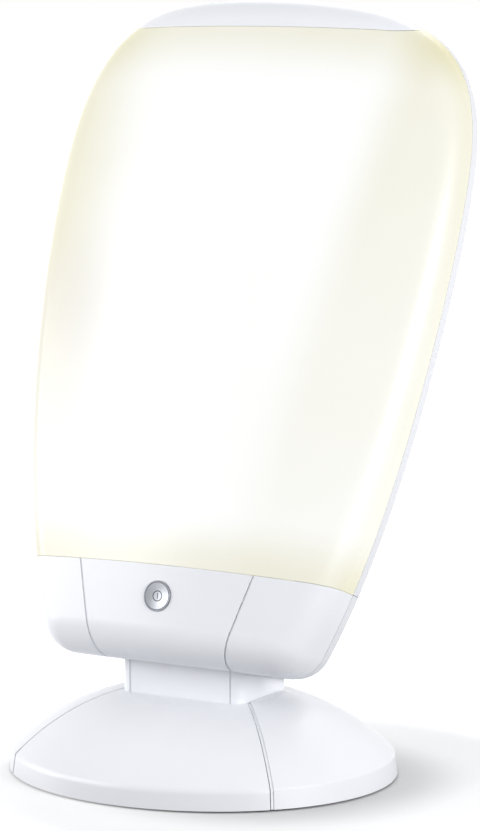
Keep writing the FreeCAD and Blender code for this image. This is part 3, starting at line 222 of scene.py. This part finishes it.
def ramp(tree, value, low, high, to_low=0.0, to_high=1.0, smooth=True):
    """A value carried from one range to another, eased at both ends."""
    node = add(tree, "ShaderNodeMapRange", {"interpolation_type": "SMOOTHSTEP" if smooth else "LINEAR"},
               Value=value, From_Min=low, From_Max=high, To_Min=to_low, To_Max=to_high)
    return node.outputs["Result"]


def blend_colours(tree, factor, first, second):
    """Two colours mixed by a factor."""
    node = add(tree, "ShaderNodeMix", {"data_type": "RGBA"})
    wire(tree, node.inputs[0], factor)
    for socket, value in zip((node.inputs[6], node.inputs[7]), (first, second)):
        wire(tree, socket, value)
    return node.outputs[2]


def solid(colour):
    """A colour with full alpha."""
    return (*colour, 1.0)


def place(tree):
    """A point's place in the lamp's frame."""
    return tree.nodes.new("ShaderNodeTexCoord").outputs["Object"]


def new_group(name, inputs, outputs):
    """An empty shader group with named sockets: (name, type, default)."""
    group = bpy.data.node_groups.new(name, "ShaderNodeTree")
    for label, kind, default in inputs:
        socket = group.interface.new_socket(name=label, in_out="INPUT", socket_type=kind)
        if default is not None:
            socket.default_value = default
    for label, kind in outputs:
        group.interface.new_socket(name=label, in_out="OUTPUT", socket_type=kind)
    source = group.nodes.new("NodeGroupInput")
    sink = group.nodes.new("NodeGroupOutput")
    return group, source.outputs, sink.inputs


def use_group(tree, group, **inputs):
    """A group placed in a material."""
    return add(tree, "ShaderNodeGroup", {"node_tree": group}, **inputs).outputs


def grain_group():
    """Fine moulded grain: a height, and a mask that wanders slowly over the surface."""
    group, given, out = new_group("Moulded grain", [("Place", "NodeSocketVector", None),
                                                    ("Fineness", "NodeSocketFloat", 1100.0)],
                                  [("Height", "NodeSocketFloat"), ("Cloud", "NodeSocketFloat")])
    fine = add(group, "ShaderNodeTexNoise", None, Vector=given["Place"], Scale=given["Fineness"], Detail=3.0,
               Roughness=0.6)
    slow = add(group, "ShaderNodeTexNoise", None, Vector=given["Place"], Scale=9.0, Detail=2.0)
    group.links.new(fine.outputs["Fac"], out["Height"])
    group.links.new(slow.outputs["Fac"], out["Cloud"])
    return group


def upward_tone_group():
    """A darker tone on what faces up, thicker in patches."""
    group, given, out = new_group("Settled dust", [("Place", "NodeSocketVector", None),
                                                   ("Amount", "NodeSocketFloat", 0.3)],
                                  [("Mask", "NodeSocketFloat")])
    normal = add(group, "ShaderNodeNewGeometry").outputs["Normal"]
    up = add(group, "ShaderNodeSeparateXYZ", None, Vector=normal).outputs["Z"]
    facing = ramp(group, up, 0.35, 1.0)
    patches = add(group, "ShaderNodeTexNoise", None, Vector=given["Place"], Scale=60.0, Detail=4.0)
    mask = calc(group, "MULTIPLY", facing, ramp(group, patches.outputs["Fac"], 0.35, 0.8))
    group.links.new(calc(group, "MULTIPLY", mask, given["Amount"]), out["Mask"])
    return group


def brushed_group():
    """Fine lines drawn along one axis of the metal."""
    group, given, out = new_group("Drawn lines", [("Place", "NodeSocketVector", None),
                                                  ("Stretch", "NodeSocketVector", (40.0, 2500.0, 2500.0))],
                                  [("Height", "NodeSocketFloat"), ("Streak", "NodeSocketFloat")])
    drawn = add(group, "ShaderNodeMapping", None, Vector=given["Place"], Scale=given["Stretch"])
    lines = drawn.outputs["Vector"]
    noise = add(group, "ShaderNodeTexNoise", None, Vector=lines, Scale=1.0, Detail=2.0).outputs["Fac"]
    group.links.new(noise, out["Height"])
    group.links.new(ramp(group, noise, *NOISE_SPREAD), out["Streak"])
    return group


GROUPS = {}


def shared(name):
    """A shared effect, built the first time it is asked for."""
    makers = {"grain": grain_group, "upward_share": upward_tone_group, "brushed": brushed_group}
    if name not in GROUPS:
        GROUPS[name] = makers[name]()
    return GROUPS[name]


def new_finish(name, **constants):
    """A material with its Principled shader's plain values set."""
    material = bpy.data.materials.new(name)
    material.use_nodes = True
    shader = material.node_tree.nodes["Principled BSDF"]
    for socket, value in constants.items():
        shader.inputs[socket.replace("_", " ")].default_value = value
    return material, material.node_tree, shader


def bump(tree, shader, height, distance, strength=1.0):
    """A height turned into a bumped normal."""
    node = add(tree, "ShaderNodeBump", None, Height=height, Distance=distance, Strength=strength)
    tree.links.new(node.outputs["Normal"], shader.inputs["Normal"])


def moulded(name, colour, roughness, grain, depth, upward_share=0.0):
    """A moulded plastic with fine grain, a slow change of tone and, where asked, a darker tone on what faces
    up.
    """
    material, tree, shader = new_finish(name, IOR=1.5)
    spot = place(tree)
    texture = use_group(tree, shared("grain"), Place=spot, Fineness=1.0 / grain)
    cloud = ramp(tree, texture["Cloud"], *NOISE_SPREAD)
    tone = blend_colours(tree, cloud, solid([c * PATCH_TONE for c in colour]), solid(colour))
    if upward_share:
        mask = use_group(tree, shared("upward_share"), Place=spot, Amount=upward_share)["Mask"]
        tone = blend_colours(tree, mask, tone, solid(UPWARD_TONE_COLOUR))
    tree.links.new(tone, shader.inputs["Base Color"])
    rough = ramp(tree, texture["Cloud"], 0.25, 0.75, roughness - ROUGHNESS_DRIFT, roughness + ROUGHNESS_DRIFT)
    tree.links.new(rough, shader.inputs["Roughness"])
    bump(tree, shader, texture["Height"], depth)
    return material


def metal(name, colour, roughness, stretch, depth):
    """A drawn or rolled metal with fine lines."""
    material, tree, shader = new_finish(name, Metallic=1.0)
    lines = use_group(tree, shared("brushed"), Place=place(tree), Stretch=stretch)
    tone = blend_colours(tree, lines["Streak"], solid([c * LINE_TONE for c in colour]), solid(colour))
    tree.links.new(tone, shader.inputs["Base Color"])
    rough = ramp(tree, lines["Streak"], 0.0, 1.0, roughness + LINE_ROUGHNESS, roughness - LINE_ROUGHNESS)
    tree.links.new(rough, shader.inputs["Roughness"])
    bump(tree, shader, lines["Height"], depth)
    return material


def opal_screen(given):
    """Opal plastic lit from behind: bright before the tubes, cream where the light falls off.

    Places are read in the head's own frame: across to the right, behind the front line, along the screen.
    """
    material, tree, shader = new_finish("Opal screen", IOR=1.49, Roughness=given.roughness,
                                        Emission_Strength=1.0)
    turned = add(tree, "ShaderNodeMapping", {"vector_type": "TEXTURE"}, Vector=place(tree),
                 Location=HEAD_FOOT, Rotation=(-HEAD_LEAN, 0.0, 0.0)).outputs["Vector"]
    axes = add(tree, "ShaderNodeSeparateXYZ", None, Vector=turned).outputs
    across, behind, along = axes["X"], axes["Y"], axes["Z"]
    right = ramp(tree, along, 0.0, SCREEN_HEIGHT, given.right_limit, given.right_limit + given.right_spread,
                 smooth=False)
    left = ramp(tree, along, 0.0, SCREEN_HEIGHT, given.left_limit, given.left_limit + given.left_spread,
                smooth=False)
    past_right = ramp(tree, calc(tree, "SUBTRACT", across, right), 0.0, given.right_falloff)
    past_left = ramp(tree, calc(tree, "SUBTRACT", calc(tree, "MULTIPLY", across, -1.0), left), 0.0,
                     given.left_falloff)
    losses = (calc(tree, "MULTIPLY", past_right, ramp(tree, along, 0.0, SCREEN_HEIGHT, *RIGHT_LOSS, False)),
              calc(tree, "MULTIPLY", past_left, ramp(tree, along, 0.0, SCREEN_HEIGHT, *LEFT_LOSS, False)),
              ramp(tree, along, 0.0, given.foot_fade, FOOT_LOSS, 0.0),
              ramp(tree, along, SCREEN_HEIGHT - given.top_fade, SCREEN_HEIGHT, 0.0, TOP_LOSS),
              ramp(tree, behind, *SIDE_WALL, 0.0, SIDE_LOSS))
    texture = use_group(tree, shared("grain"), Place=place(tree), Fineness=SCREEN_GRAIN)
    loss = ramp(tree, texture["Cloud"], *NOISE_SPREAD, -LOSS_DRIFT, LOSS_DRIFT)
    for part in losses:
        loss = calc(tree, "ADD", loss, part)
    fade = ramp(tree, loss, 0.0, FULL_LOSS, smooth=False)
    glow = blend_colours(tree, fade, solid(given.hot), solid(given.dim))
    tree.links.new(glow, shader.inputs["Emission Color"])
    # Painted light: the body's colour follows the glow's fall-off.
    tone = blend_colours(tree, fade, solid(given.body), solid(given.painted_glow_body))
    # Painted shade low on the left, where the left lamp would wash the edge out.
    painted_shade_mask = calc(tree, "MULTIPLY", ramp(tree, across, *LOW_LEFT_ACROSS),
                    ramp(tree, along, *LOW_LEFT_ALONG))
    tree.links.new(blend_colours(tree, painted_shade_mask, tone, solid(given.painted_shade_body)), shader.inputs["Base Color"])
    bump(tree, shader, texture["Height"], 0.000004)
    return material


def silver_lacquer(name, colour):
    """Silver lacquer on plastic: fine flake under a satin coat."""
    material, tree, shader = new_finish(name, Metallic=0.75, Coat_Weight=0.25, Coat_Roughness=0.2)
    flake = add(tree, "ShaderNodeTexVoronoi", None, Vector=place(tree), Scale=9000.0).outputs["Distance"]
    tone = blend_colours(tree, ramp(tree, flake, 0.1, 0.7), solid(colour), solid([c * 0.9 for c in colour]))
    tree.links.new(tone, shader.inputs["Base Color"])
    shader.inputs["Roughness"].default_value = 0.34
    bump(tree, shader, flake, 0.000003)
    return material


def lamp_glass():
    """Glass tubes coated inside with white phosphor, lit."""
    material, tree, shader = new_finish("Phosphor glass", IOR=1.5, Roughness=0.12, Coat_Weight=0.6,
                                        Emission_Strength=0.9)
    coating = add(tree, "ShaderNodeTexNoise", None, Vector=place(tree), Scale=120.0, Detail=2.0)
    patch = ramp(tree, coating.outputs["Fac"], *NOISE_SPREAD)
    tone = blend_colours(tree, patch, solid((0.9, 0.93, 1.0)), solid((0.96, 0.97, 1.0)))
    tree.links.new(tone, shader.inputs["Base Color"])
    tree.links.new(tone, shader.inputs["Emission Color"])
    return material


def circuit_board():
    """Green resist over copper tracks."""
    material, tree, shader = new_finish("Circuit board", Roughness=0.4, Coat_Weight=0.3)
    tracks = add(tree, "ShaderNodeTexBrick", None, Vector=place(tree), Scale=120.0, Mortar_Size=0.03,
                 Color1=solid((0.02, 0.12, 0.05)), Color2=solid((0.025, 0.15, 0.06)),
                 Mortar=solid((0.05, 0.24, 0.1)))
    tree.links.new(tracks.outputs["Color"], shader.inputs["Base Color"])
    bump(tree, shader, tracks.outputs["Fac"], 0.00003)
    return material


def fibre():
    """Pressed brown fibre."""
    material, tree, shader = new_finish("Pressed fibre", Roughness=0.8)
    noise = add(tree, "ShaderNodeTexNoise", None, Vector=place(tree), Scale=1800.0, Detail=4.0,
                Distortion=1.5)
    hairs = noise.outputs["Fac"]
    tone = blend_colours(tree, hairs, solid((0.14, 0.075, 0.04)), solid((0.3, 0.18, 0.1)))
    tree.links.new(tone, shader.inputs["Base Color"])
    bump(tree, shader, hairs, 0.00005)
    return material


def finish_nodes(material, *names):
    """Give CAD nodes their finish."""
    for name in names:
        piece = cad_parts[name]
        for held in piece.material_slots:
            held.material = material


# ---- one operator for each group of like pieces ----

class LAMP_OT_screen(bpy.types.Operator):
    """Finish the lit screen in opal plastic that glows before the tubes"""
    bl_idname = "lamp.screen"
    bl_label = "Lit Screen"

    def execute(self, context):
        finish_nodes(opal_screen(context.scene.lamp_screen), "diffuser")
        return {"FINISHED"}


def housing_white(context, name, painted_brightness=1.0, upward_share=0.0):
    """The housing's white plastic, made lighter or darker as painted light or shade."""
    given = context.scene.lamp_housing
    colour = [c * painted_brightness for c in given.colour]
    return moulded(name, colour, given.roughness, given.grain, given.depth, upward_share)


class LAMP_OT_head_covers(bpy.types.Operator):
    """Finish the cap, the panels below the screen and the rear shells in satin white"""
    bl_idname = "lamp.head_covers"
    bl_label = "Head Covers"

    def execute(self, context):
        finish_nodes(housing_white(context, "Head white"), "lower_centre_panel", "lower_left_cover",
                     "lower_right_cover")
        # Painted shade: the rear shells get a greyer copy of the white.
        finish_nodes(housing_white(context, "Rear white", REAR_PAINTED_SHADE), "rear_housing", "lower_rear_housing")
        # Painted light: the cap gets a lighter copy of the white.
        finish_nodes(housing_white(context, "Cap white", CAP_PAINTED_LIGHT), "top_cap")
        return {"FINISHED"}


class LAMP_OT_base_covers(bpy.types.Operator):
    """Finish the dome's covers, the wings and the bottom plate"""
    bl_idname = "lamp.base_covers"
    bl_label = "Base Covers"

    def execute(self, context):
        finish_nodes(housing_white(context, "Dome white", upward_share=DOME_UPWARD_TONE), "base_front_cover",
                     "base_rear_cover", "base_left_wing", "base_right_wing", "base_bottom_plate")
        return {"FINISHED"}


class LAMP_OT_neck(bpy.types.Operator):
    """Finish the neck's column and its round top"""
    bl_idname = "lamp.neck"
    bl_label = "Neck"

    def execute(self, context):
        finish_nodes(housing_white(context, "Neck white"), "neck_column", "neck_top")
        return {"FINISHED"}


class LAMP_OT_button(bpy.types.Operator):
    """Finish the power button, its symbol and its ring"""
    bl_idname = "lamp.button"
    bl_label = "Power Button"

    def execute(self, context):
        given = context.scene.lamp_button
        finish_nodes(silver_lacquer("Button silver", given.silver), "power_button")
        finish_nodes(silver_lacquer("Ring silver", given.ring), "button_bezel")
        finish_nodes(moulded("Symbol ink", given.ink, 0.45, 0.0006, 0.000004), "button_symbol")
        return {"FINISHED"}


class LAMP_OT_spring(bpy.types.Operator):
    """Make the button's return spring as a smoothed copy of the CAD one, riding with the head"""
    bl_idname = "lamp.spring"
    bl_label = "Return Spring"

    def execute(self, context):
        spring = bpy.data.objects.new("return_spring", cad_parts["button_spring"].data.copy())
        context.scene.collection.objects.link(spring)
        bpy.ops.object.select_all(action="DESELECT")
        spring.select_set(True)
        context.view_layer.objects.active = spring
        bpy.ops.object.mode_set(mode="EDIT")
        bpy.ops.mesh.select_all(action="SELECT")
        bpy.ops.mesh.remove_doubles(threshold=0.000001)
        bpy.ops.object.mode_set(mode="OBJECT")
        bpy.ops.object.shade_smooth_by_angle(angle=math.radians(40.0))
        spring.data.materials.clear()
        spring.data.materials.append(metal("Spring wire", (0.58, 0.58, 0.57), 0.25, (2500.0, 2500.0, 2500.0),
                                           0.000004))
        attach(spring, "head")
        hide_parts("button_spring")
        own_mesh(spring)
        return {"FINISHED"}


class LAMP_OT_hinge(bpy.types.Operator):
    """Finish the hinge's steel, its washers and the brackets"""
    bl_idname = "lamp.hinge"
    bl_label = "Hinge and Brackets"

    def execute(self, context):
        zinc = metal("Zinc plate", (0.56, 0.57, 0.6), 0.34, (60.0, 900.0, 60.0), 0.00001)
        finish_nodes(zinc, "neck_bracket", "head_bracket")
        turned = metal("Turned steel", (0.6, 0.6, 0.6), 0.28, (2600.0, 30.0, 30.0), 0.000008)
        finish_nodes(turned, "hinge_axle", "hinge_nuts")
        finish_nodes(fibre(), "friction_washers")
        return {"FINISHED"}


class LAMP_OT_fasteners(bpy.types.Operator):
    """Finish the screws in bright zinc"""
    bl_idname = "lamp.fasteners"
    bl_label = "Screws"

    def execute(self, context):
        zinc = metal("Screw zinc", (0.62, 0.62, 0.63), 0.3, (900.0, 900.0, 900.0), 0.000006)
        finish_nodes(zinc, "base_screws", "weight_screws", "rear_screws", "chassis_screws")
        return {"FINISHED"}


class LAMP_OT_tubes(bpy.types.Operator):
    """Finish the lit tubes, their caps, holders and clips"""
    bl_idname = "lamp.tubes"
    bl_label = "Tubes"

    def execute(self, context):
        finish_nodes(lamp_glass(), "left_lamp_tube", "right_lamp_tube")
        plastic = moulded("Holder plastic", (0.78, 0.77, 0.72), 0.5, 0.0012, 0.00001)
        finish_nodes(plastic, "left_lamp_cap", "right_lamp_cap", "left_lampholder", "right_lampholder",
                     "switch_carrier", "terminal_block")
        spring = metal("Spring steel", (0.58, 0.58, 0.57), 0.25, (40.0, 40.0, 2500.0), 0.000006)
        finish_nodes(spring, "tube_clips")
        return {"FINISHED"}


class LAMP_OT_gear(bpy.types.Operator):
    """Finish the reflector, the chassis and the lamp gear"""
    bl_idname = "lamp.gear"
    bl_label = "Reflector and Gear"

    def execute(self, context):
        bright = metal("Bright aluminium", (0.86, 0.87, 0.88), 0.2, (2000.0, 2000.0, 12.0), 0.000006)
        finish_nodes(bright, "reflector", "spacer_posts")
        coat = moulded("White powder coat", (0.8, 0.81, 0.82), 0.5, 0.0016, 0.00004)
        finish_nodes(coat, "chassis_plate", "gear_case")
        finish_nodes(circuit_board(), "gear_board", "switch_board")
        finish_nodes(moulded("Switch black", (0.02, 0.02, 0.022), 0.5, 0.001, 0.00001), "switch_body")
        return {"FINISHED"}


class LAMP_OT_underside(bpy.types.Operator):
    """Finish the weight, the feet and the cord gland"""
    bl_idname = "lamp.underside"
    bl_label = "Weight, Feet and Gland"

    def execute(self, context):
        finish_nodes(moulded("Weight primer", (0.035, 0.035, 0.038), 0.6, 0.002, 0.00008), "ballast_weight")
        finish_nodes(moulded("Grey rubber", (0.06, 0.06, 0.062), 0.75, 0.0008, 0.00003), "rubber_feet",
                     "cord_gland")
        return {"FINISHED"}


# ---- stage ----

def seen_rays(tree):
    """1 for what the camera sees, directly or in gloss or glass, and 0 for light that bounces."""
    rays = tree.nodes.new("ShaderNodeLightPath").outputs
    return calc(tree, "MAXIMUM", rays["Is Camera Ray"],
                calc(tree, "MAXIMUM", rays["Is Glossy Ray"], rays["Is Transmission Ray"]))


def floor_white(given):
    """A white floor that keeps the lamp's shadow and a painted shadow by the base, pure white far off."""
    material = bpy.data.materials.new("Floor white")
    material.use_nodes = True
    tree = material.node_tree
    tree.nodes.clear()
    seen = seen_rays(tree)
    apart = add(tree, "ShaderNodeVectorMath", {"operation": "DISTANCE"}, Vector=place(tree))
    apart.inputs[1].default_value = PAINTED_SHADOW_MIDDLE
    away = apart.outputs["Value"]
    # Painted shadow: near the base the floor gives off little white of its own.
    share = calc(tree, "ADD", ramp(tree, away, *PAINTED_SHADOW_EDGE, given.floor_near, OUTER_SHARE),
                 ramp(tree, away, *WHITE_EDGE, 0.0, 1.0 - OUTER_SHARE))
    # Painted shade: the floor bounces less light near the lamp's foot.
    bounce = blend_colours(tree, ramp(tree, away, *BOUNCE_EDGE), solid(given.painted_floor_shade), solid(given.floor))
    plain = add(tree, "ShaderNodeBsdfDiffuse", None, Color=bounce)
    shadowed = add(tree, "ShaderNodeBsdfDiffuse", None, Color=solid(SHADOWED_WHITE))
    light = add(tree, "ShaderNodeEmission", None, Color=solid(WHITE), Strength=share)
    white = tree.nodes.new("ShaderNodeAddShader")
    tree.links.new(shadowed.outputs[0], white.inputs[0])
    tree.links.new(light.outputs[0], white.inputs[1])
    mix = tree.nodes.new("ShaderNodeMixShader")
    tree.links.new(seen, mix.inputs[0])
    tree.links.new(plain.outputs[0], mix.inputs[1])
    tree.links.new(white.outputs[0], mix.inputs[2])
    out = tree.nodes.new("ShaderNodeOutputMaterial")
    tree.links.new(mix.outputs[0], out.inputs["Surface"])
    return material


def studio_world(strength):
    """Even light from all round, seen as white behind the lamp."""
    world = bpy.data.worlds.new("Studio")
    world.use_nodes = True
    tree = world.node_tree
    tree.nodes.clear()
    seen = seen_rays(tree)
    level = blend_colours(tree, seen, solid([c * strength for c in SKY]), solid(WHITE))
    light = add(tree, "ShaderNodeBackground", None, Color=level, Strength=1.0)
    out = tree.nodes.new("ShaderNodeOutputWorld")
    tree.links.new(light.outputs[0], out.inputs["Surface"])
    return world


def soft_lamp(name, azimuth, elevation, size, power):
    """A rectangular lamp that faces the middle of the object from a distance."""
    turn, rise = math.radians(azimuth), math.radians(elevation)
    data = bpy.data.lights.new(name, "AREA")
    data.shape = "RECTANGLE"
    data.size, data.size_y = size
    data.energy = power
    lamp = bpy.data.objects.new(name, data)
    heading = Vector((math.cos(rise) * math.sin(turn), -math.cos(rise) * math.cos(turn), math.sin(rise)))
    lamp.location = LAMP_AIM + LAMP_DISTANCE * heading
    lamp.rotation_euler = (LAMP_AIM - lamp.location).to_track_quat("-Z", "Y").to_euler()
    lamp.visible_camera = False
    bpy.context.scene.collection.objects.link(lamp)


def look(azimuth, pitch):
    """The direction of a camera's view."""
    flat = math.cos(pitch)
    return Vector((-math.sin(azimuth) * flat, math.cos(azimuth) * flat, -math.sin(pitch)))


class LAMP_OT_stage(bpy.types.Operator):
    """Set up the camera, the floor, the lamps and the world"""
    bl_idname = "lamp.stage"
    bl_label = "Stage"

    def execute(self, context):
        given = context.scene.lamp_stage
        data = bpy.data.cameras.new("Camera")
        data.lens = given.lens
        data.clip_end = 50.0
        camera = bpy.data.objects.new("Camera", data)
        camera.location = (given.distance * math.sin(given.azimuth),
                           -given.distance * math.cos(given.azimuth), given.height)
        view = look(given.azimuth - given.yaw, given.pitch)
        camera.rotation_euler = view.to_track_quat("-Z", "Y").to_euler()
        context.scene.collection.objects.link(camera)
        context.scene.camera = camera

        bpy.ops.object.select_all(action="DESELECT")
        bpy.ops.mesh.primitive_plane_add(size=FLOOR_SIZE, location=(0.0, 0.0, 0.0))
        floor = context.object
        floor.name = "floor"
        floor.data.materials.append(floor_white(given))

        for name, azimuth, elevation, size in SOFT_LAMPS:
            soft_lamp(name.capitalize(), azimuth, elevation, size, getattr(given, name))
        context.scene.world = studio_world(given.world)
        context.scene.view_settings.view_transform = "Standard"
        return {"FINISHED"}


class LAMP_PT_panel(bpy.types.Panel):
    """The lamp's pieces and settings"""
    bl_idname = "LAMP_PT_panel"
    bl_label = "Therapy Lamp"
    bl_space_type = "VIEW_3D"
    bl_region_type = "UI"
    bl_category = "Therapy Lamp"

    def draw(self, context):
        column = self.layout.column()
        for operator in OPERATORS:
            column.operator(operator.bl_idname)
        for name, kind in SETTINGS.items():
            held = getattr(context.scene, name)
            for field in kind.__annotations__:
                column.prop(held, field)


SETTINGS = {"lamp_screen": LAMP_PG_screen, "lamp_housing": LAMP_PG_housing, "lamp_button": LAMP_PG_button,
            "lamp_stage": LAMP_PG_stage}
OPERATORS = (LAMP_OT_screen, LAMP_OT_head_covers, LAMP_OT_base_covers, LAMP_OT_neck, LAMP_OT_button,
             LAMP_OT_spring, LAMP_OT_hinge, LAMP_OT_fasteners, LAMP_OT_tubes, LAMP_OT_gear,
             LAMP_OT_underside, LAMP_OT_stage)
CLASSES = (*SETTINGS.values(), *OPERATORS, LAMP_PT_panel)


def register():
    """Register the classes and hang the settings on the scene."""
    for kind in CLASSES:
        bpy.utils.register_class(kind)
    for name, kind in SETTINGS.items():
        setattr(bpy.types.Scene, name, bpy.props.PointerProperty(type=kind))


def unregister():
    """Undo register."""
    for name in SETTINGS:
        delattr(bpy.types.Scene, name)
    for kind in reversed(CLASSES):
        bpy.utils.unregister_class(kind)


def main():
    """Dress the lamp and set the stage."""
    register()
    bpy.ops.lamp.screen()
    bpy.ops.lamp.head_covers()
    bpy.ops.lamp.base_covers()
    bpy.ops.lamp.neck()
    bpy.ops.lamp.button()
    bpy.ops.lamp.spring()
    bpy.ops.lamp.hinge()
    bpy.ops.lamp.fasteners()
    bpy.ops.lamp.tubes()
    bpy.ops.lamp.gear()
    bpy.ops.lamp.underside()
    bpy.ops.lamp.stage()


if __name__ == "__main__":
    main()
